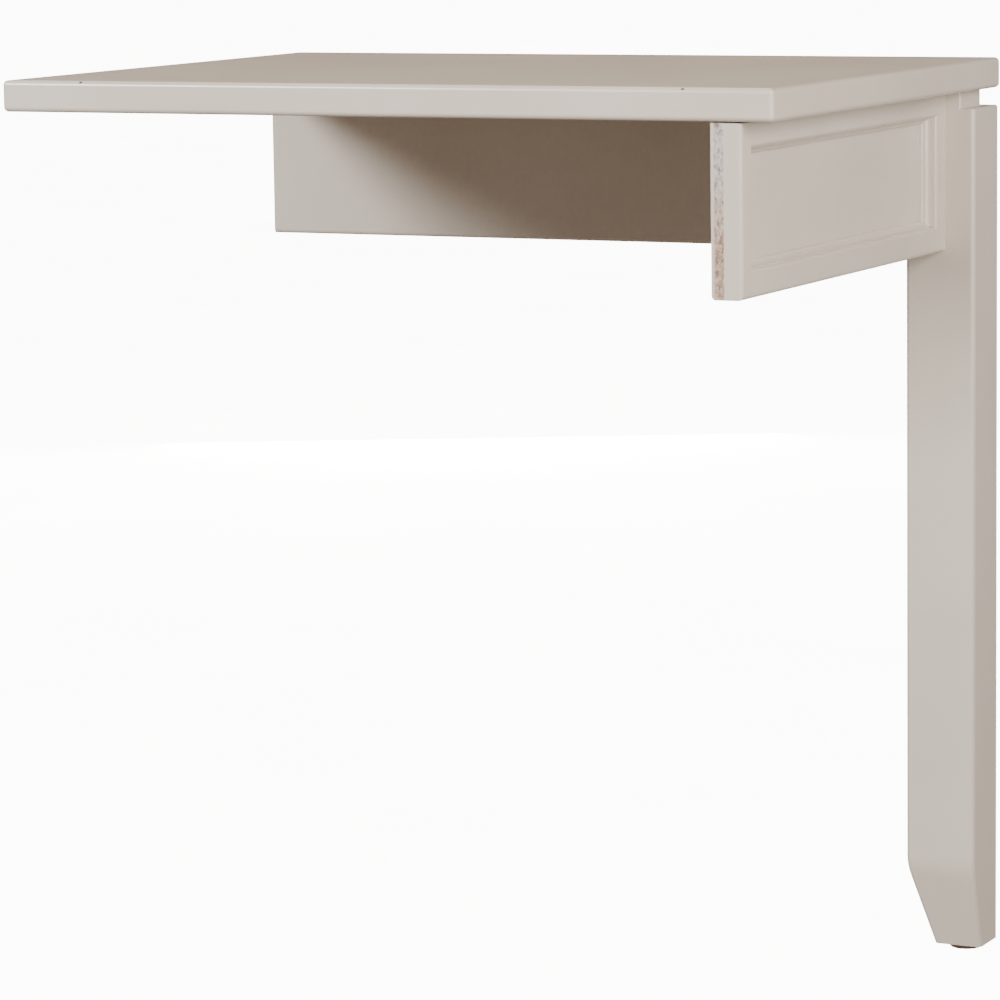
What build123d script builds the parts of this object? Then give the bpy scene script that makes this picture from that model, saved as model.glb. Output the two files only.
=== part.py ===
from build123d import *
import math
import os

# A one-legged return table. Its free sides, near (-Y) and left (-X), are carried by a host piece.
# Everything is laid out from the near-left corner on the floor, in millimetres, and save()
# moves it so that the origin is on the floor under the middle of the top.

# Whole table and its top
HEIGHT = 762.0
TOP_WIDTH = 668.0
TOP_DEPTH = 506.0
TOP_THICK = 25.4
TOP_CORNER_R = 4.0
TOP_ARRIS_R = 4.0

# Leg: square, with a neck under the top and a foot that tapers on its two inner faces
LEG_SIDE = 61.0
LEG_INSET = 1.0
LEG_EDGE_R = 4.0
NECK_HEIGHT = 14.4
NECK_SETBACK = 12.0
NECK_ROOT = 25.0
NECK_EDGE_R = 2.0
TAPER_HEIGHT = 76.0
TAPER_INSET = 19.0
TAPER_BEND = 9.0
TAPER_BEND_STEPS = 6
LEG_CLEAR_OF_FLOOR = 5.0

# Rails: a core board with a panel frame on its outer face and mouldings in the frame
SIDE_RAIL_START = 4.0
RAIL_HEIGHT = 133.0
RAIL_TOP_GAP = 1.0
RAIL_SETBACK = 26.0
CORE_THICK = 11.0
FRAME_THICK = 14.0
RAIL_EDGE_R = 3.5
RAIL_TOP_EDGE_R = 1.0
STILE_FREE = 18.6
STILE_LEG = 15.5
FRAME_TOP = 17.4
FRAME_BOTTOM = 19.4
MOULDING_WIDTH = 8.0
MOULDING_SHY = 0.4
ROLL_WIDTH = 2.4
ROLL_FOOT = 10.6
ROLL_R = 3.2
COVE_TOP = (3.0, 10.0)
COVE_FOOT = (5.6, 4.2)
COVE_R = 7.0
BEAD_TOP = 3.4
BEAD_FOOT = 1.2
BEAD_R = 2.4

# Cleats that hold the top to the rails
CLEAT_SIDE = 20.0
CLEAT_EDGE_R = 1.5
CLEAT_START = 60.0
CLEAT_END_GAP = 45.0
SIDE_CLEAT_SCREWS = 3
BACK_CLEAT_SCREWS = 4
CLEAT_SCREW_INSET = 25.0
CLEAT_SCREW_STAGGER = 22.0

# Wood screws
SCREW_R = 2.0
SCREW_HEAD_R = 4.0
SCREW_HEAD_HEIGHT = 2.4
SCREW_TIP = 3.0
SCREW_POINT_R = 0.24
TOP_SCREW_LENGTH = 32.0
RAIL_SCREW_LENGTH = 38.0
BRACKET_SCREW_LENGTH = 12.0
HOLE_CLEARANCE = 0.1
CROSS_WIDTH = 0.9
CROSS_SPAN = 4.4
CROSS_DEPTH = 1.4

# Corner bracket, with the hanger bolt that pulls the leg against the rails
BRACKET_THICK = 2.5
BRACKET_HEIGHT = 50.0
BRACKET_WING = 34.0
BRACKET_STANDOFF = 14.0
BRACKET_Z = 675.0
BRACKET_SCREW_RISE = 14.0
BRACKET_SCREW_INSET = 11.0
BRACKET_HOLE_R = 4.6
BOLT_R = 4.0
BOLT_IN_LEG = 40.0
BOLT_BEYOND_PLATE = 14.0
BOLT_CHAMFER = 0.8
WASHER_R = 9.0
WASHER_THICK = 1.6
NUT_HUB_R = 7.0
NUT_TIP_R = 5.5
NUT_HEIGHT = 8.0
NUT_SPAN = 32.0
NUT_WING_THICK = 3.0
NUT_WING_HEIGHT = 12.0

# Dowels between the rails and the leg
DOWEL_R = 3.0
DOWEL_HALF = 20.0
DOWEL_RISE = 40.0
DOWEL_CHAMFER = 0.8

# Threaded inserts in the underside of the top, for joining to the host
JOIN_INSERT_END = 73.0
JOIN_INSERT_IN = 30.0
JOIN_INSERT_R = 4.6
JOIN_THREAD_R = 3.0
JOIN_INSERT_LENGTH = 14.0
JOIN_HOLE_SPARE = 1.0

# Levelling foot: an insert in the leg, a screw stem that turns, and a pad that does not
FOOT_INSERT_R = 6.0
FOOT_INSERT_LENGTH = 20.0
FOOT_FLANGE_R = 8.0
FOOT_FLANGE_THICK = 1.2
STEM_THREAD_R = 4.0
STEM_CLEARANCE = 0.05
STEM_LENGTH = 42.0
STEM_HEAD_R = 6.0
STEM_HEAD_THICK = 2.0
STEM_BORE_R = 4.4
STEM_BORE_SPARE = 5.0
KEY_ACROSS_FLATS = 4.0
KEY_DEPTH = 3.0
PAD_R = 14.0
PAD_TOP = 4.6
PAD_EDGE_R = 1.0
PAD_MOUTH_R = 4.4
PAD_ROOF = 1.2
SOLE_R = 13.0
SOLE_THICK = 1.0
KEY_HOLE_R = 3.3
SWIVEL_CLEARANCE = 0.2

# Places worked out from the above
UNDERSIDE = HEIGHT - TOP_THICK
LEG_X1 = TOP_WIDTH - LEG_INSET
LEG_Y1 = TOP_DEPTH - LEG_INSET
LEG_X0 = LEG_X1 - LEG_SIDE
LEG_Y0 = LEG_Y1 - LEG_SIDE
SHOULDER = UNDERSIDE - NECK_HEIGHT
RAIL_THICK = CORE_THICK + FRAME_THICK
RAIL_TOP = UNDERSIDE - RAIL_TOP_GAP
RAIL_BOTTOM = RAIL_TOP - RAIL_HEIGHT
SIDE_RAIL_X = LEG_X1 - RAIL_SETBACK - RAIL_THICK
BACK_RAIL_Y = LEG_Y1 - RAIL_SETBACK - RAIL_THICK
FOOT_X = (LEG_X0 + TAPER_INSET + LEG_X1) / 2
FOOT_Y = (LEG_Y0 + TAPER_INSET + LEG_Y1) / 2
SWAP_XY = Plane(origin=(0, 0, 0), z_dir=(1, -1, 0))
STANDING = (Align.CENTER, Align.CENTER, Align.MIN)
HANGING = (Align.CENTER, Align.CENTER, Align.MAX)

nodes = {}


def block(x0, x1, y0, y1, z0, z1):
    """A box between two corners."""
    return Pos(x0, y0, z0) * Box(x1 - x0, y1 - y0, z1 - z0, align=(Align.MIN,) * 3)


def rod(radius, x, y, z0, z1):
    """An upright cylinder from z0 to z1."""
    return Pos(x, y, z0) * Cylinder(radius, z1 - z0, align=STANDING)


def round_edges(part, radius, points):
    """Rounds the edge nearest to each point."""
    edges = [min(part.edges(), key=lambda e, p=p: (e.center() - Vector(*p)).length) for p in points]
    return fillet(edges, radius)


def save(name, *solids):
    """Keeps one node, moved to the table's own origin."""
    shape = solids[0] if len(solids) == 1 else Compound(children=list(solids))
    nodes[name] = Pos(-TOP_WIDTH / 2, -TOP_DEPTH / 2, 0) * shape


# ---- Fasteners ----

def screw_body(length, grow=0.0):
    """A countersunk screw along -Z, head flush with z=0; grow makes the hole for it."""
    head = Cone(SCREW_R + grow, SCREW_HEAD_R + grow, SCREW_HEAD_HEIGHT, align=HANGING)
    shank_end = SCREW_TIP - length
    shank = rod(SCREW_R + grow, 0, 0, shank_end, -SCREW_HEAD_HEIGHT)
    tip = Pos(0, 0, shank_end) * Cone(SCREW_POINT_R + grow, SCREW_R + grow, SCREW_TIP, align=HANGING)
    return head + shank + tip


def screw(length):
    """A countersunk screw with a cross recess."""
    recess = Box(CROSS_SPAN, CROSS_WIDTH, 2 * CROSS_DEPTH) + Box(CROSS_WIDTH, CROSS_SPAN, 2 * CROSS_DEPTH)
    return screw_body(length) - recess


def along(point, direction):
    """A location whose -Z points along direction."""
    return Plane(origin=point, z_dir=-Vector(*direction)).location


# ---- Rails ----

def moulding_profile():
    """Section of the panel moulding: x inwards from the frame, y out from the core."""
    roll = RadiusArc((0, FRAME_THICK - MOULDING_SHY), (ROLL_WIDTH, ROLL_FOOT), ROLL_R)
    ledge = Polyline(roll @ 1, (ROLL_WIDTH, COVE_TOP[1]), COVE_TOP)
    cove = RadiusArc(COVE_TOP, COVE_FOOT, -COVE_R)
    bead = RadiusArc((COVE_FOOT[0], BEAD_TOP), (MOULDING_WIDTH, BEAD_FOOT), BEAD_R)
    back = Polyline(bead @ 1, (MOULDING_WIDTH, 0), (0, 0), roll @ 0)
    outline = Curve() + [roll, ledge, cove, Line(cove @ 1, bead @ 0), bead, back]
    return make_face(outline)


def moulding(start, run, inward, length):
    """One mitred length of panel moulding, its back on the core board."""
    start, run, inward = Vector(*start), Vector(*run), Vector(*inward)
    out = Vector(0, 1, 0)
    section = Plane(origin=start, x_dir=inward, z_dir=inward.cross(out)) * moulding_profile()
    strip = extrude(section, amount=length, dir=run)
    near = start + run * MOULDING_WIDTH + inward * MOULDING_WIDTH
    far = start + run * (length - MOULDING_WIDTH) + inward * MOULDING_WIDTH
    trapezoid = make_face(Polyline(start, start + run * length, far, near, close=True))
    return strip & extrude(trapezoid, amount=FRAME_THICK, dir=out)


def rail(length):
    """Core, frame and mouldings of one rail: it runs along +X from its free end and faces +Y."""
    core = block(0, length, 0, CORE_THICK, 0, RAIL_HEIGHT)
    core = round_edges(core, RAIL_EDGE_R, [(length / 2, 0, 0)])
    frame = block(0, length, CORE_THICK, RAIL_THICK, 0, RAIL_HEIGHT)
    frame = round_edges(frame, RAIL_EDGE_R, [(0, RAIL_THICK, RAIL_HEIGHT / 2), (length / 2, RAIL_THICK, 0)])
    frame = round_edges(frame, RAIL_TOP_EDGE_R, [(length / 2, RAIL_THICK, RAIL_HEIGHT)])
    x0, x1 = STILE_FREE, length - STILE_LEG
    z0, z1 = FRAME_BOTTOM, RAIL_HEIGHT - FRAME_TOP
    members = {
        "free_stile": frame & block(0, x0, 0, RAIL_THICK, 0, RAIL_HEIGHT),
        "leg_stile": frame & block(x1, length, 0, RAIL_THICK, 0, RAIL_HEIGHT),
        "top_member": frame & block(x0, x1, 0, RAIL_THICK, z1, RAIL_HEIGHT),
        "bottom_member": frame & block(x0, x1, 0, RAIL_THICK, 0, z0),
    }
    wide, high = x1 - x0, z1 - z0
    mouldings = {
        "bottom_moulding": moulding((x0, CORE_THICK, z0), (1, 0, 0), (0, 0, 1), wide),
        "top_moulding": moulding((x1, CORE_THICK, z1), (-1, 0, 0), (0, 0, -1), wide),
        "free_moulding": moulding((x0, CORE_THICK, z1), (0, 0, -1), (1, 0, 0), high),
        "leg_moulding": moulding((x1, CORE_THICK, z0), (0, 0, 1), (-1, 0, 0), high),
    }
    return {"core": core, **members, **mouldings}


def place_side(shape):
    """Turns a rail's own layout into the side rail's place, facing +X."""
    return Pos(SIDE_RAIL_X, SIDE_RAIL_START, RAIL_BOTTOM) * mirror(shape, about=SWAP_XY)


def place_back(shape):
    """Moves a rail's own layout to the back rail's place, facing +Y."""
    return Pos(0, BACK_RAIL_Y, RAIL_BOTTOM) * shape


side_rail = {name: place_side(shape) for name, shape in rail(LEG_Y0 - SIDE_RAIL_START).items()}
back_rail = {name: place_back(shape) for name, shape in rail(LEG_X0).items()}


# ---- Top and leg ----

def make_top():
    board = block(0, TOP_WIDTH, 0, TOP_DEPTH, UNDERSIDE, HEIGHT)
    board = fillet(board.edges().filter_by(Axis.Z), TOP_CORNER_R)
    rims = board.edges().group_by(Axis.Z)[0] + board.edges().group_by(Axis.Z)[-1]
    return fillet(rims, TOP_ARRIS_R)


def rounded_section(x0, x1, y0, y1, z, radius):
    return Pos((x0 + x1) / 2, (y0 + y1) / 2, z) * RectangleRounded(x1 - x0, y1 - y0, radius)


def leg_section(z, inset):
    """The leg's section, drawn in from its two inner faces."""
    return rounded_section(LEG_X0 + inset, LEG_X1, LEG_Y0 + inset, LEG_Y1, z, LEG_EDGE_R)


def make_leg():
    """The taper starts with a soft bend, in short steps along a parabola."""
    slope = TAPER_INSET / (TAPER_HEIGHT - LEG_CLEAR_OF_FLOOR)
    bend_top = TAPER_HEIGHT + TAPER_BEND
    sections = [leg_section(LEG_CLEAR_OF_FLOOR, TAPER_INSET)]
    for step in range(TAPER_BEND_STEPS, -1, -1):
        fall = 2 * TAPER_BEND * step / TAPER_BEND_STEPS
        sections.append(leg_section(bend_top - fall, slope * fall ** 2 / (4 * TAPER_BEND)))
    post = extrude(sections[-1], amount=SHOULDER - bend_top)
    post = fillet(post.edges().group_by(Axis.Z)[-1], NECK_EDGE_R)
    foot = loft(sections, ruled=True)
    neck_x, neck_y = LEG_X1 - NECK_SETBACK, LEG_Y1 - NECK_SETBACK
    neck = block(LEG_X0, neck_x, LEG_Y0, neck_y, SHOULDER - NECK_ROOT, UNDERSIDE)
    neck = fillet(neck.edges().filter_by(Axis.Z), NECK_EDGE_R)
    return post + foot + neck


top = make_top()
leg = make_leg()


# ---- Cleats and their screws ----

def spread(start, end, count):
    """Evenly spaced places from start to end."""
    return [start + (end - start) * i / (count - 1) for i in range(count)]


def make_cleat(length):
    """A square batten along +X, under the top at y from -CLEAT_SIDE to 0."""
    batten = block(0, length, -CLEAT_SIDE, 0, UNDERSIDE - CLEAT_SIDE, UNDERSIDE)
    return round_edges(batten, CLEAT_EDGE_R, [(length / 2, -CLEAT_SIDE, UNDERSIDE - CLEAT_SIDE)])


side_cleat_length = LEG_Y0 - CLEAT_END_GAP - CLEAT_START
back_cleat_length = LEG_X0 - CLEAT_END_GAP - CLEAT_START
side_cleat = Pos(SIDE_RAIL_X, CLEAT_START, 0) * mirror(make_cleat(side_cleat_length), about=SWAP_XY)
back_cleat = Pos(CLEAT_START, BACK_RAIL_Y, 0) * make_cleat(back_cleat_length)
cleat_mid_z = UNDERSIDE - CLEAT_SIDE / 2
cleat_foot_z = UNDERSIDE - CLEAT_SIDE

side_runs = spread(
    CLEAT_START + CLEAT_SCREW_INSET, CLEAT_START + side_cleat_length - CLEAT_SCREW_INSET, SIDE_CLEAT_SCREWS)
back_runs = spread(
    CLEAT_START + CLEAT_SCREW_INSET, CLEAT_START + back_cleat_length - CLEAT_SCREW_INSET, BACK_CLEAT_SCREWS)
side_mid_x = SIDE_RAIL_X - CLEAT_SIDE / 2
back_mid_y = BACK_RAIL_Y - CLEAT_SIDE / 2

top_screw_places = [along((side_mid_x, y, cleat_foot_z), (0, 0, 1)) for y in side_runs]
top_screw_places += [along((x, back_mid_y, cleat_foot_z), (0, 0, 1)) for x in back_runs]
side_screw_places = [
    along((SIDE_RAIL_X - CLEAT_SIDE, y + CLEAT_SCREW_STAGGER, cleat_mid_z), (1, 0, 0))
    for y in side_runs[:-1]]
back_screw_places = [
    along((x + CLEAT_SCREW_STAGGER, BACK_RAIL_Y - CLEAT_SIDE, cleat_mid_z), (0, 1, 0))
    for x in back_runs[:-1]]

for place in top_screw_places:
    hole = place * screw_body(TOP_SCREW_LENGTH, HOLE_CLEARANCE)
    top -= hole
    side_cleat -= hole
    back_cleat -= hole
for place in side_screw_places:
    hole = place * screw_body(RAIL_SCREW_LENGTH, HOLE_CLEARANCE)
    side_cleat -= hole
    side_rail["core"] -= hole
    side_rail["top_member"] -= hole
for place in back_screw_places:
    hole = place * screw_body(RAIL_SCREW_LENGTH, HOLE_CLEARANCE)
    back_cleat -= hole
    back_rail["core"] -= hole
    back_rail["top_member"] -= hole


# ---- Corner bracket, hanger bolt and nut ----

bolt_way = Vector(1, 1, 0).normalized()
plate_x = LEG_X0 - BRACKET_STANDOFF
plate_y = LEG_Y0 - BRACKET_STANDOFF
bend_line = plate_x + plate_y
back_bend_x = bend_line - (BACK_RAIL_Y - BRACKET_THICK / 2)
side_bend_y = bend_line - (SIDE_RAIL_X - BRACKET_THICK / 2)
plate_centre = Vector(
    (back_bend_x + SIDE_RAIL_X - BRACKET_THICK / 2) / 2,
    (side_bend_y + BACK_RAIL_Y - BRACKET_THICK / 2) / 2,
    BRACKET_Z,
)
plate_length = math.sqrt(2) * (SIDE_RAIL_X - BRACKET_THICK / 2 - back_bend_x)


def on_bolt(distance):
    """A point on the hanger bolt's line, measured from the plate's middle towards the leg."""
    return Vector(plate_x, plate_y, BRACKET_Z) + bolt_way * distance


def bolt_rod(radius, start, end):
    """A cylinder on the hanger bolt's line."""
    place = Plane(origin=on_bolt(start), z_dir=bolt_way).location
    return place * Cylinder(radius, end - start, align=STANDING)


def make_bracket():
    low, high = BRACKET_Z - BRACKET_HEIGHT / 2, BRACKET_Z + BRACKET_HEIGHT / 2
    plate = Location(plate_centre, (0, 0, -45)) * Box(plate_length, BRACKET_THICK, BRACKET_HEIGHT)
    lap = BRACKET_THICK / 2
    back_x0, back_x1 = back_bend_x - BRACKET_WING, back_bend_x + lap
    side_y0, side_y1 = side_bend_y - BRACKET_WING, side_bend_y + lap
    back_wing = block(back_x0, back_x1, BACK_RAIL_Y - BRACKET_THICK, BACK_RAIL_Y, low, high)
    side_wing = block(SIDE_RAIL_X - BRACKET_THICK, SIDE_RAIL_X, side_y0, side_y1, low, high)
    return plate + back_wing + side_wing - bolt_rod(BRACKET_HOLE_R, -BRACKET_THICK, BRACKET_THICK)


def make_wing_nut():
    """A hub with two ears, built along +Z from its seat."""
    hub = Cone(NUT_HUB_R, NUT_TIP_R, NUT_HEIGHT, align=STANDING)
    ear_foot = NUT_HEIGHT / 4
    outline = Polyline(
        (-NUT_TIP_R, ear_foot), (-NUT_SPAN / 2, NUT_HEIGHT), (-NUT_SPAN / 2 + NUT_WING_THICK, NUT_WING_HEIGHT),
        (0, ear_foot + NUT_WING_THICK), (NUT_SPAN / 2 - NUT_WING_THICK, NUT_WING_HEIGHT),
        (NUT_SPAN / 2, NUT_HEIGHT), (NUT_TIP_R, ear_foot), close=True)
    ears = extrude(Plane.XZ * make_face(outline), amount=NUT_WING_THICK / 2, both=True)
    bore = Cylinder(BOLT_R + HOLE_CLEARANCE, 4 * NUT_HEIGHT)
    return hub + ears - bore


bracket = make_bracket()
leg_corner = BRACKET_STANDOFF * math.sqrt(2)
bolt_end = leg_corner + BOLT_IN_LEG
seat = -BRACKET_THICK / 2
nut_seat = seat - WASHER_THICK
hanger_bolt = bolt_rod(BOLT_R, seat - BOLT_BEYOND_PLATE, bolt_end)
hanger_bolt = chamfer(hanger_bolt.edges().filter_by(GeomType.CIRCLE), BOLT_CHAMFER)
washer = bolt_rod(WASHER_R, nut_seat, seat) - bolt_rod(BOLT_R + HOLE_CLEARANCE, nut_seat, seat)
nut_place = Plane(origin=on_bolt(nut_seat), x_dir=(1, -1, 0), z_dir=-bolt_way).location
wing_nut = nut_place * make_wing_nut()
leg -= bolt_rod(BOLT_R + HOLE_CLEARANCE, 0, bolt_end + HOLE_CLEARANCE)

bracket_screw_zs = (BRACKET_Z - BRACKET_SCREW_RISE, BRACKET_Z + BRACKET_SCREW_RISE)
side_wing_y = side_bend_y - BRACKET_WING + BRACKET_SCREW_INSET
back_wing_x = back_bend_x - BRACKET_WING + BRACKET_SCREW_INSET
bracket_screw_places = []
for z in bracket_screw_zs:
    bracket_screw_places.append(along((SIDE_RAIL_X - BRACKET_THICK, side_wing_y, z), (1, 0, 0)))
    bracket_screw_places.append(along((back_wing_x, BACK_RAIL_Y - BRACKET_THICK, z), (0, 1, 0)))
for place in bracket_screw_places:
    hole = place * screw_body(BRACKET_SCREW_LENGTH, HOLE_CLEARANCE)
    bracket -= hole
    side_rail["core"] -= hole
    back_rail["core"] -= hole


# ---- Dowels ----

def make_dowel(point, direction, grow=0.0):
    """A dowel centred on the joint; grow makes the hole for it."""
    place = Plane(origin=point, z_dir=direction).location
    pin = Cylinder(DOWEL_R + grow, 2 * (DOWEL_HALF + grow))
    if grow == 0.0:
        pin = chamfer(pin.edges().filter_by(GeomType.CIRCLE), DOWEL_CHAMFER)
    return place * pin


rail_mid_z = (RAIL_TOP + RAIL_BOTTOM) / 2
dowels = []
for z in (rail_mid_z - DOWEL_RISE, rail_mid_z + DOWEL_RISE):
    side_joint = (SIDE_RAIL_X + CORE_THICK / 2, LEG_Y0, z)
    back_joint = (LEG_X0, BACK_RAIL_Y + CORE_THICK / 2, z)
    dowels += [make_dowel(side_joint, (0, 1, 0)), make_dowel(back_joint, (1, 0, 0))]
    side_hole = make_dowel(side_joint, (0, 1, 0), HOLE_CLEARANCE)
    back_hole = make_dowel(back_joint, (1, 0, 0), HOLE_CLEARANCE)
    side_rail["core"] -= side_hole
    back_rail["core"] -= back_hole
    leg = leg - side_hole - back_hole


# ---- Inserts for joining to the host ----

insert_end = UNDERSIDE + JOIN_INSERT_LENGTH
join_inserts = {}
for side, x in (("left", JOIN_INSERT_END), ("right", TOP_WIDTH - JOIN_INSERT_END)):
    sleeve = rod(JOIN_INSERT_R, x, JOIN_INSERT_IN, UNDERSIDE, insert_end)
    join_inserts[side] = sleeve - rod(JOIN_THREAD_R, x, JOIN_INSERT_IN, UNDERSIDE, insert_end)
    top -= rod(JOIN_INSERT_R + HOLE_CLEARANCE, x, JOIN_INSERT_IN, UNDERSIDE, insert_end + JOIN_HOLE_SPARE)


# ---- Levelling foot ----

insert_top = LEG_CLEAR_OF_FLOOR + FOOT_INSERT_LENGTH
flange_top = LEG_CLEAR_OF_FLOOR + FOOT_FLANGE_THICK
stem_foot = SOLE_THICK + SWIVEL_CLEARANCE
stem_head_top = stem_foot + STEM_HEAD_THICK
stem_top = stem_foot + STEM_LENGTH


def make_foot_insert():
    sleeve = rod(FOOT_INSERT_R, FOOT_X, FOOT_Y, LEG_CLEAR_OF_FLOOR, insert_top)
    flange = rod(FOOT_FLANGE_R, FOOT_X, FOOT_Y, LEG_CLEAR_OF_FLOOR, flange_top)
    return sleeve + flange - rod(STEM_THREAD_R, FOOT_X, FOOT_Y, 0, HEIGHT)


def make_stem():
    head = rod(STEM_HEAD_R, FOOT_X, FOOT_Y, stem_foot, stem_head_top)
    shank = rod(STEM_THREAD_R - STEM_CLEARANCE, FOOT_X, FOOT_Y, stem_foot, stem_top)
    shank = chamfer(shank.edges().group_by(Axis.Z)[-1], BOLT_CHAMFER)
    key = Pos(FOOT_X, FOOT_Y, stem_foot) * RegularPolygon(KEY_ACROSS_FLATS / 2, 6, major_radius=False)
    return head + shank - extrude(key, amount=KEY_DEPTH)


def make_pad():
    disc = rod(PAD_R, FOOT_X, FOOT_Y, SOLE_THICK, PAD_TOP)
    disc = fillet(disc.edges().group_by(Axis.Z)[-1], PAD_EDGE_R)
    cavity = rod(STEM_HEAD_R + SWIVEL_CLEARANCE, FOOT_X, FOOT_Y, SOLE_THICK, PAD_TOP - PAD_ROOF)
    return disc - cavity - rod(PAD_MOUTH_R, FOOT_X, FOOT_Y, SOLE_THICK, PAD_TOP)


leg -= rod(FOOT_INSERT_R + HOLE_CLEARANCE, FOOT_X, FOOT_Y, LEG_CLEAR_OF_FLOOR, insert_top)
leg -= rod(FOOT_FLANGE_R + HOLE_CLEARANCE, FOOT_X, FOOT_Y, LEG_CLEAR_OF_FLOOR, flange_top)
leg -= rod(STEM_BORE_R, FOOT_X, FOOT_Y, LEG_CLEAR_OF_FLOOR, stem_top + STEM_BORE_SPARE)
sole = rod(SOLE_R, FOOT_X, FOOT_Y, 0, SOLE_THICK) - rod(KEY_HOLE_R, FOOT_X, FOOT_Y, 0, SOLE_THICK)


# ---- Nodes ----

save("table_top", top)
save("leg", leg)
for name, shape in side_rail.items():
    save(f"side_rail_{name}", shape)
for name, shape in back_rail.items():
    save(f"back_rail_{name}", shape)
save("side_cleat", side_cleat)
save("back_cleat", back_cleat)
save("cleat_to_top_screws", *[place * screw(TOP_SCREW_LENGTH) for place in top_screw_places])
save("cleat_to_rail_screws", *[
    place * screw(RAIL_SCREW_LENGTH) for place in side_screw_places + back_screw_places])
save("corner_bracket", bracket)
save("corner_bracket_screws", *[place * screw(BRACKET_SCREW_LENGTH) for place in bracket_screw_places])
save("hanger_bolt", hanger_bolt)
save("hanger_washer", washer)
save("wing_nut", wing_nut)
save("rail_dowels", *dowels)
for side, insert in join_inserts.items():
    save(f"join_insert_{side}", insert)
save("foot_insert", make_foot_insert())
save("foot_stem", make_stem())
save("foot_pad", make_pad())
save("foot_sole", sole)

os.makedirs("parts", exist_ok=True)
for name, shape in nodes.items():
    export_step(shape, f"parts/{name}.step")
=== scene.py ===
import bpy
import math
from mathutils import Matrix, Vector


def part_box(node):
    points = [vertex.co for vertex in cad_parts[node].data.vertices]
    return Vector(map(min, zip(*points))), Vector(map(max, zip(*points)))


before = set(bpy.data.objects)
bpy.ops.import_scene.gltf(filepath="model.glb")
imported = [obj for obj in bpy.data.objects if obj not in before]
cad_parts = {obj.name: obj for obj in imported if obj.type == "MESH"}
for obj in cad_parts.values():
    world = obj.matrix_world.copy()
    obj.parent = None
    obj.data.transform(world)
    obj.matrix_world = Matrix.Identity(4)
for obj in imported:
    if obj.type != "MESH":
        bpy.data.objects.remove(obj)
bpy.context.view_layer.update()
top_low, top_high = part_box("table_top")
core_low, core_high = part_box("side_rail_core")

# ---- Camera ----
AZIMUTH = 25.717
PITCH = 8.155
ROLL = -0.801
LENS_MM = 162.2
SENSOR_MM = 36.0
CAMERA_X = 1.2647
CAMERA_Y = -3.1005
CAMERA_Z = 0.1742


def add_camera():
    """A long lens a little above the top, placed from the top's near right corner."""
    data = bpy.data.cameras.new("camera")
    data.lens = LENS_MM
    data.sensor_width = SENSOR_MM
    camera = bpy.data.objects.new("camera", data)
    camera.location = Vector((top_high.x + CAMERA_X, top_low.y + CAMERA_Y, top_high.z + CAMERA_Z))
    turn = Matrix.Rotation(math.radians(AZIMUTH), 3, "Z")
    turn = turn @ Matrix.Rotation(math.radians(90 - PITCH), 3, "X")
    turn = turn @ Matrix.Rotation(math.radians(ROLL), 3, "Z")
    camera.rotation_euler = turn.to_euler()
    bpy.context.scene.collection.objects.link(camera)
    bpy.context.scene.camera = camera


# ---- Node helpers ----
RING_SCALE = 28.0
RING_STRETCH = (0.25, 1.6)
RING_DISTORTION = 5.0
RING_DETAIL = 3.0
RING_DETAIL_SCALE = 0.6
NOISE_DETAIL = 3.0


def linear(red, green, blue):
    """A colour given in 0 to 255 display values, as linear light."""
    return tuple(((c / 255 + 0.055) / 1.055) ** 2.4 for c in (red, green, blue)) + (1.0,)


def along_axis(direction, along, across):
    """A noise scale that is different along one axis, named X, Y or Z."""
    return tuple(along if name == direction else across for name in "XYZ")


def even(scale):
    return (scale, scale, scale)


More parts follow.
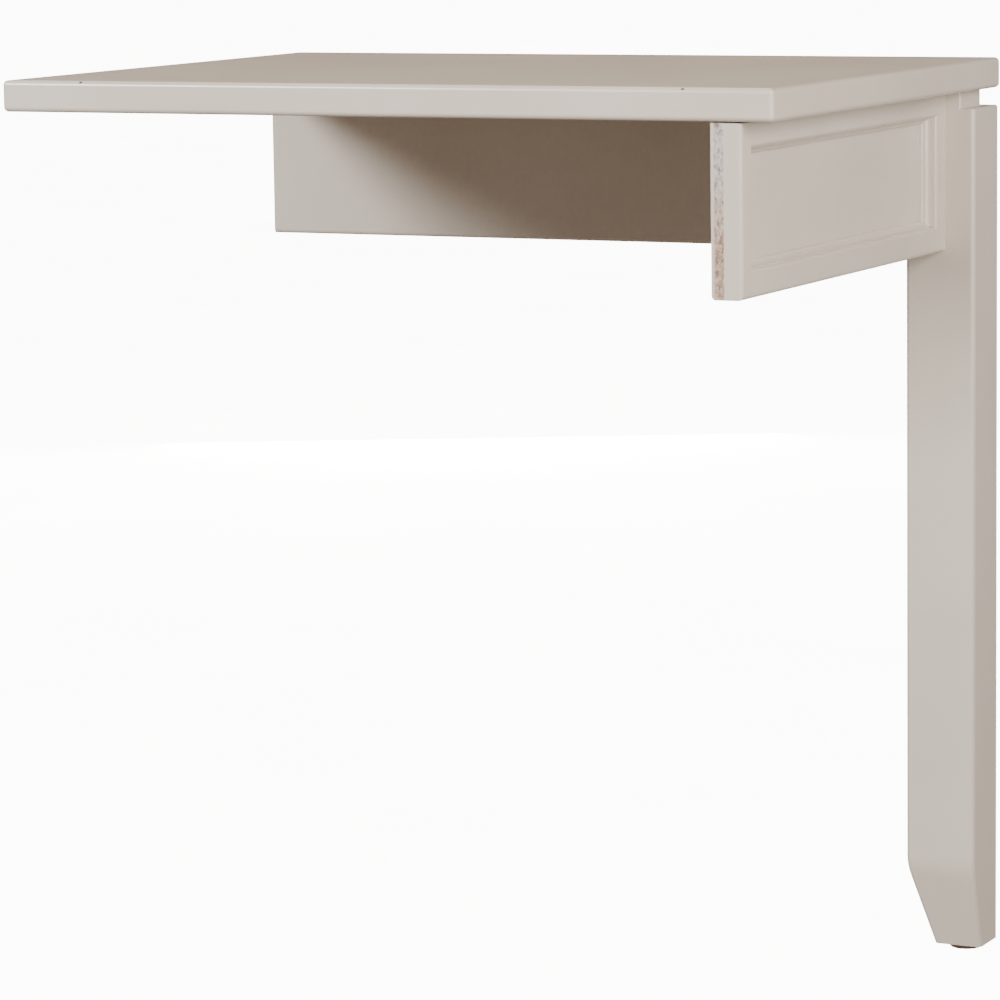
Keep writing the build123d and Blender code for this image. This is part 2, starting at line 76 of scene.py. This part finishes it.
class Shader:
    """A material with short calls for the nodes it is built from."""

    def __init__(self, name, roughness, metallic=0.0):
        self.material = bpy.data.materials.new(name)
        self.material.use_nodes = True
        self.tree = self.material.node_tree
        self.bsdf = self.tree.nodes["Principled BSDF"]
        self.bsdf.inputs["Roughness"].default_value = roughness
        self.bsdf.inputs["Metallic"].default_value = metallic
        self.coords = self.tree.nodes.new("ShaderNodeTexCoord")

    def join(self, source, socket):
        self.tree.links.new(source, socket)

    def stretched(self, scale):
        """Object coordinates in metres, scaled along each axis."""
        node = self.tree.nodes.new("ShaderNodeMapping")
        node.inputs["Scale"].default_value = scale
        self.join(self.coords.outputs["Object"], node.inputs["Vector"])
        return node.outputs["Vector"]

    def noise(self, scale, detail=NOISE_DETAIL, roughness=0.5, distortion=0.0):
        node = self.tree.nodes.new("ShaderNodeTexNoise")
        node.inputs["Scale"].default_value = 1.0
        node.inputs["Detail"].default_value = detail
        node.inputs["Roughness"].default_value = roughness
        node.inputs["Distortion"].default_value = distortion
        self.join(self.stretched(scale), node.inputs["Vector"])
        return node.outputs["Fac"]

    def rings(self, direction):
        """Growth rings about one axis, drawn out along it."""
        node = self.tree.nodes.new("ShaderNodeTexWave")
        node.wave_type = "RINGS"
        node.rings_direction = direction
        node.inputs["Scale"].default_value = RING_SCALE
        node.inputs["Distortion"].default_value = RING_DISTORTION
        node.inputs["Detail"].default_value = RING_DETAIL
        node.inputs["Detail Scale"].default_value = RING_DETAIL_SCALE
        self.join(self.stretched(along_axis(direction, *RING_STRETCH)), node.inputs["Vector"])
        return node.outputs["Fac"]

    def ramp(self, source, stops):
        """stops is a list of (place, colour)."""
        node = self.tree.nodes.new("ShaderNodeValToRGB")
        while len(node.color_ramp.elements) < len(stops):
            node.color_ramp.elements.new(0.5)
        for element, (place, colour) in zip(node.color_ramp.elements, stops):
            element.position = place
            element.color = colour
        self.join(source, node.inputs["Fac"])
        return node.outputs["Color"]

    def remap(self, source, from_low, from_high, to_low=0.0, to_high=1.0):
        node = self.tree.nodes.new("ShaderNodeMapRange")
        node.interpolation_type = "SMOOTHSTEP"
        limits = {"From Min": from_low, "From Max": from_high, "To Min": to_low, "To Max": to_high}
        for name, value in limits.items():
            node.inputs[name].default_value = value
        self.join(source, node.inputs["Value"])
        return node.outputs["Result"]

    def axis(self, name):
        """One coordinate of the object's own position."""
        node = self.tree.nodes.new("ShaderNodeSeparateXYZ")
        self.join(self.coords.outputs["Object"], node.inputs[0])
        return node.outputs[name]

    def distance(self, place):
        """How far the surface is from a place."""
        node = self.tree.nodes.new("ShaderNodeVectorMath")
        node.operation = "DISTANCE"
        self.join(self.coords.outputs["Object"], node.inputs[0])
        node.inputs[1].default_value = place
        return node.outputs["Value"]

    def maths(self, operation, first, second):
        node = self.tree.nodes.new("ShaderNodeMath")
        node.operation = operation
        for socket, value in zip(node.inputs, (first, second)):
            if isinstance(value, float):
                socket.default_value = value
            else:
                self.join(value, socket)
        return node.outputs[0]

    def mix(self, factor, first, second):
        node = self.tree.nodes.new("ShaderNodeMix")
        node.data_type = "RGBA"
        self.join(factor, node.inputs["Factor"])
        for socket, value in ((node.inputs[6], first), (node.inputs[7], second)):
            if isinstance(value, tuple):
                socket.default_value = value
            else:
                self.join(value, socket)
        return node.outputs[2]

    def colour(self, source):
        self.join(source, self.bsdf.inputs["Base Color"])

    def roughness(self, source):
        self.join(source, self.bsdf.inputs["Roughness"])

    def bump(self, *layers):
        """layers are (height, distance in metres), each laid on the one before."""
        below = None
        for height, distance in layers:
            node = self.tree.nodes.new("ShaderNodeBump")
            node.inputs["Distance"].default_value = distance
            self.join(height, node.inputs["Height"])
            if below is not None:
                self.join(below, node.inputs["Normal"])
            below = node.outputs["Normal"]
        self.join(below, self.bsdf.inputs["Normal"])


# ---- Materials ----
# Where a noise turns from a dark tone to a light one.
TONE_LOW = 0.35
TONE_HIGH = 0.65

PAINT_LIGHT = linear(213, 205, 193)
PAINT_DARK = linear(206, 197, 184)
PAINT_ROUGHNESS = 0.3
PAINT_SMOOTHER = 0.02
PAINT_ROUGHER = 0.03
CLOUD_SCALE = 5.0
WAVE_SCALE = 22.0
PATCH_SCALE = 14.0
PATCH_LOW = 0.2
PATCH_HIGH = 0.8
GRAIN_ALONG = 3.0
GRAIN_ACROSS = 240.0
GRAIN_BEND = 0.4
STIPPLE_SCALE = 620.0
WAVE_DEPTH = 0.0004
GRAIN_DEPTH = 0.00002
STIPPLE_DEPTH = 0.00002
COAT_WEIGHT = 0.25
COAT_ROUGHNESS = 0.2
NICK_FROM_END = 0.073
NICK_FROM_EDGE = 0.001
NICK_RADIUS = 0.0014
NICK_SMALL = 0.4
NICK_LARGE = 1.6
NICK_RAGGED_SCALE = 900.0
CHIP = linear(92, 82, 76)

# The bare end of the side rail's core: two layers, and how far the paint reaches over its rims.
PRIMER_DEPTH = 0.035
BOARD_DEPTH = 0.085
FIBRE_SCALE = (1500.0, 1500.0, 750.0)
BLOTCH_SCALE = (330.0, 330.0, 190.0)
RIM_INNER = (0.0014, 0.0036)
RIM_OUTER = (0.0002, 0.0012)
RIM_FRONT = (0.0004, 0.0001)
BARE_ROUGHER = 0.5
BOARD_STOPS = [(0.4, linear(128, 104, 90)), (0.5, linear(176, 148, 128)), (0.6, linear(200, 188, 180))]
PRIMER_STOPS = [(0.38, linear(120, 108, 102)), (0.48, linear(180, 172, 168)), (0.58, linear(204, 198, 194))]

PINE_LIGHT = linear(222, 200, 165)
PINE_DARK = linear(190, 158, 118)
PINE_ROUGHNESS = 0.6
BEECH_LIGHT = linear(222, 184, 142)
BEECH_DARK = linear(184, 138, 96)
BEECH_ROUGHNESS = 0.5
FIBRES_ALONG = 12.0
FIBRES_ACROSS = 900.0
WOOD_TONE_LOW = 0.2
WOOD_TONE_HIGH = 0.75
WOOD_DEPTH = 0.0002

ZINC = linear(206, 207, 204)
ZINC_ROUGHNESS = 0.34
ZINC_DULLED = 0.8
ZINC_SMOOTHER = 0.08
ZINC_ROUGHER = 0.12
SPANGLE_SCALE = 260.0
SPANGLE_LOW = 0.3
SPANGLE_HIGH = 0.7
PLATING_SCALE = 900.0
PLATING_DEPTH = 0.00002

PAD_LIGHT = linear(172, 148, 132)
PAD_DARK = linear(150, 126, 110)
PAD_ROUGHNESS = 0.5
SOLE_LIGHT = linear(58, 48, 43)
SOLE_DARK = linear(38, 31, 28)
SOLE_ROUGHNESS = 0.75
MOTTLE_SCALE = 90.0
TEXTURE_SCALE = 1600.0
TEXTURE_DEPTH = 0.00003


def painted(name, direction):
    """Sprayed satin paint over board, with faint grain under it and a fine stipple."""
    shader = Shader(name, PAINT_ROUGHNESS)
    cloud = shader.noise(even(CLOUD_SCALE), detail=4.0)
    shader.colour(shader.ramp(cloud, [(TONE_LOW, PAINT_DARK), (TONE_HIGH, PAINT_LIGHT)]))
    grain = shader.noise(along_axis(direction, GRAIN_ALONG, GRAIN_ACROSS), detail=4.0, distortion=GRAIN_BEND)
    stipple = shader.noise(even(STIPPLE_SCALE), detail=2.0)
    wave = shader.noise(even(WAVE_SCALE), detail=2.0)
    patches = shader.noise(even(PATCH_SCALE), detail=5.0)
    glossy, dull = PAINT_ROUGHNESS - PAINT_SMOOTHER, PAINT_ROUGHNESS + PAINT_ROUGHER
    shader.roughness(shader.remap(patches, PATCH_LOW, PATCH_HIGH, glossy, dull))
    shader.bump((wave, WAVE_DEPTH), (grain, GRAIN_DEPTH), (stipple, STIPPLE_DEPTH))
    shader.bsdf.inputs["Coat Weight"].default_value = COAT_WEIGHT
    shader.bsdf.inputs["Coat Roughness"].default_value = COAT_ROUGHNESS
    return shader


def chipped(shader):
    """Two small chips in the paint of the top's near arris."""
    paint = shader.bsdf.inputs["Base Color"].links[0].from_socket
    edge = shader.noise(even(NICK_RAGGED_SCALE))
    ragged = shader.remap(edge, PATCH_LOW, PATCH_HIGH, NICK_SMALL * NICK_RADIUS, NICK_LARGE * NICK_RADIUS)
    for x in (top_low.x + NICK_FROM_END, top_high.x - NICK_FROM_END):
        reach = shader.distance((x, top_low.y + NICK_FROM_EDGE, top_high.z - NICK_FROM_EDGE))
        paint = shader.mix(shader.maths("LESS_THAN", reach, ragged), paint, CHIP)
    shader.colour(paint)


def bare_end(shader):
    """Leaves the near end of the side rail's core bare: scuffed primer above, brown board below."""
    height = shader.remap(shader.axis("Z"), core_high.z - PRIMER_DEPTH, core_high.z - BOARD_DEPTH)
    fibre = shader.noise(FIBRE_SCALE, detail=4.0, roughness=0.6)
    blotch = shader.noise(BLOTCH_SCALE, detail=4.0)
    speck = shader.maths("MULTIPLY", shader.maths("ADD", fibre, blotch), 0.5)
    board = shader.ramp(speck, BOARD_STOPS)
    primer = shader.ramp(speck, PRIMER_STOPS)
    bare = shader.mix(height, primer, board)
    across = shader.axis("X")
    rim_in = shader.remap(across, *(core_low.x + reach for reach in RIM_INNER))
    rim_out = shader.remap(across, *(core_high.x - reach for reach in RIM_OUTER))
    facing = shader.remap(shader.axis("Y"), *(core_low.y + reach for reach in RIM_FRONT))
    mask = shader.maths("MULTIPLY", shader.maths("MULTIPLY", rim_in, rim_out), facing)
    paint = shader.bsdf.inputs["Base Color"].links[0].from_socket
    shader.colour(shader.mix(mask, paint, bare))
    shader.roughness(shader.maths("ADD", shader.maths("MULTIPLY", mask, BARE_ROUGHER), PAINT_ROUGHNESS))


def wood(name, light, dark, direction, roughness):
    """Bare planed wood with growth rings about one axis."""
    shader = Shader(name, roughness)
    rings = shader.rings(direction)
    fibres = shader.noise(along_axis(direction, FIBRES_ALONG, FIBRES_ACROSS), detail=5.0)
    tone = shader.maths("MULTIPLY", shader.maths("ADD", fibres, rings), 0.5)
    shader.colour(shader.ramp(tone, [(WOOD_TONE_LOW, dark), (WOOD_TONE_HIGH, light)]))
    shader.bump((tone, WOOD_DEPTH))
    return shader


def metal(name, tint, roughness):
    """Zinc-plated steel with a fine mottled plating."""
    shader = Shader(name, roughness, metallic=1.0)
    spangle = shader.noise(even(SPANGLE_SCALE), detail=4.0)
    dull = tuple(c * ZINC_DULLED for c in tint[:3]) + (1.0,)
    shader.colour(shader.ramp(spangle, [(TONE_LOW, dull), (TONE_HIGH, tint)]))
    glossy, matt = roughness - ZINC_SMOOTHER, roughness + ZINC_ROUGHER
    shader.roughness(shader.remap(spangle, SPANGLE_LOW, SPANGLE_HIGH, glossy, matt))
    shader.bump((shader.noise(even(PLATING_SCALE)), PLATING_DEPTH))
    return shader


def moulded(name, light, dark, roughness):
    """Moulded plastic or rubber with a fine texture."""
    shader = Shader(name, roughness)
    mottle = shader.noise(even(MOTTLE_SCALE), detail=4.0)
    shader.colour(shader.ramp(mottle, [(TONE_LOW, dark), (TONE_HIGH, light)]))
    shader.bump((shader.noise(even(TEXTURE_SCALE)), TEXTURE_DEPTH))
    return shader


def finish_nodes():
    """Gives every CAD node its material."""
    paint = {axis: painted(f"paint_{axis.lower()}", axis).material for axis in "XYZ"}
    top = painted("paint_top", "X")
    chipped(top)
    core = painted("paint_side_core", "Y")
    bare_end(core)
    pine = {}
    for axis in "XY":
        pine[axis] = wood(f"pine_{axis.lower()}", PINE_LIGHT, PINE_DARK, axis, PINE_ROUGHNESS).material
    beech = wood("beech", BEECH_LIGHT, BEECH_DARK, "X", BEECH_ROUGHNESS).material
    zinc = metal("zinc", ZINC, ZINC_ROUGHNESS).material
    pad = moulded("pad_plastic", PAD_LIGHT, PAD_DARK, PAD_ROUGHNESS).material
    sole = moulded("sole_rubber", SOLE_LIGHT, SOLE_DARK, SOLE_ROUGHNESS).material
    chosen = {
        "table_top": top.material, "leg": paint["Z"],
        "side_rail_core": core.material, "back_rail_core": paint["X"],
        "side_cleat": pine["Y"], "back_cleat": pine["X"], "rail_dowels": beech,
        "foot_pad": pad, "foot_sole": sole,
    }
    for name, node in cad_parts.items():
        material = chosen.get(name, zinc)
        if "_rail_" in name and name not in chosen and "screws" not in name:
            upright = name.endswith(("stile", "free_moulding", "leg_moulding"))
            along = "Y" if name.startswith("side") else "X"
            material = paint["Z" if upright else along]
        node.data.materials.clear()
        node.data.materials.append(material)


# ---- Floor, backdrop and light ----
STUDIO_RADIUS = 45.0
STUDIO_SIDES = 96
STUDIO_RINGS = 48
STUDIO_GLOW = 13.0
STUDIO_CLOUD_SCALE = 3.0
STUDIO_STOPS = [(0.3, linear(240, 239, 237)), (0.7, linear(245, 244, 242))]
WORLD_COLOUR = (1.0, 0.81, 0.68, 1.0)
WORLD_STRENGTH = 0.3
MIDDLE = Vector((0.0, 0.0, 0.55))
RAIL_LEVEL = Vector((0.0, 0.0, 0.75))
KEY_WAY = Vector((-0.71, -1.0, 0.53)).normalized()
KEY_DISTANCE = 4.0
KEY_SIZE = 1.0
KEY_POWER = 208.0
KEY_COLOUR = (1.0, 0.985, 0.97)
SIDE_WAY = Vector((0.86, -0.48, 0.2)).normalized()
SIDE_DISTANCE = 2.3
SIDE_SIZE = 1.2
SIDE_POWER = 71.0
SIDE_COLOUR = (1.0, 0.965, 0.92)
BACK_WAY = Vector((-0.5, 0.8, 0.8)).normalized()
BACK_DISTANCE = 4.0
BACK_SIZE = 2.6
BACK_POWER = 48.0
BACK_COLOUR = (1.0, 0.74, 0.48)
REAR_WAY = Vector((-0.45, 0.9, -0.15)).normalized()
REAR_DISTANCE = 3.6
REAR_SIZE = 1.0
REAR_POWER = 75.0
REAR_COLOUR = (1.0, 0.98, 0.95)


def add_stage():
    """A pale floor and a pale dome. Neither lights the table, so its shaded faces keep their depth."""
    shader = Shader("studio_white", 1.0)
    shader.bsdf.inputs["Specular IOR Level"].default_value = 0.0
    pale = shader.ramp(shader.noise(even(STUDIO_CLOUD_SCALE)), STUDIO_STOPS)
    shader.colour(pale)
    shader.join(pale, shader.bsdf.inputs["Emission Color"])
    shader.bsdf.inputs["Emission Strength"].default_value = STUDIO_GLOW
    bpy.ops.mesh.primitive_circle_add(vertices=STUDIO_SIDES, radius=STUDIO_RADIUS, fill_type="NGON")
    floor = bpy.context.object
    floor.name = "floor"
    bpy.ops.mesh.primitive_uv_sphere_add(
        segments=STUDIO_SIDES, ring_count=STUDIO_RINGS, radius=STUDIO_RADIUS)
    dome = bpy.context.object
    dome.name = "dome"
    for stage in (floor, dome):
        stage.data.materials.append(shader.material)
        stage.visible_diffuse = False
        stage.visible_glossy = False
        stage.visible_shadow = False


def add_light(name, target, way, distance, size, power, colour):
    """A square soft light that faces a target and isn't seen itself."""
    data = bpy.data.lights.new(name, "AREA")
    data.size = size
    data.energy = power
    data.color = colour
    light = bpy.data.objects.new(name, data)
    light.location = target + way * distance
    light.rotation_euler = way.to_track_quat("Z", "Y").to_euler()
    light.visible_camera = False
    bpy.context.scene.collection.objects.link(light)


def add_studio():
    """A warm dim room, a key from the near left, a softer light from the right and two behind the table."""
    world = bpy.data.worlds.new("studio")
    world.use_nodes = True
    background = world.node_tree.nodes["Background"]
    background.inputs["Color"].default_value = WORLD_COLOUR
    background.inputs["Strength"].default_value = WORLD_STRENGTH
    bpy.context.scene.world = world
    add_light("key", MIDDLE, KEY_WAY, KEY_DISTANCE, KEY_SIZE, KEY_POWER, KEY_COLOUR)
    add_light("side", RAIL_LEVEL, SIDE_WAY, SIDE_DISTANCE, SIDE_SIZE, SIDE_POWER, SIDE_COLOUR)
    add_light("back", RAIL_LEVEL, BACK_WAY, BACK_DISTANCE, BACK_SIZE, BACK_POWER, BACK_COLOUR)
    add_light("rear", RAIL_LEVEL, REAR_WAY, REAR_DISTANCE, REAR_SIZE, REAR_POWER, REAR_COLOUR)


add_camera()
finish_nodes()
add_stage()
add_studio()
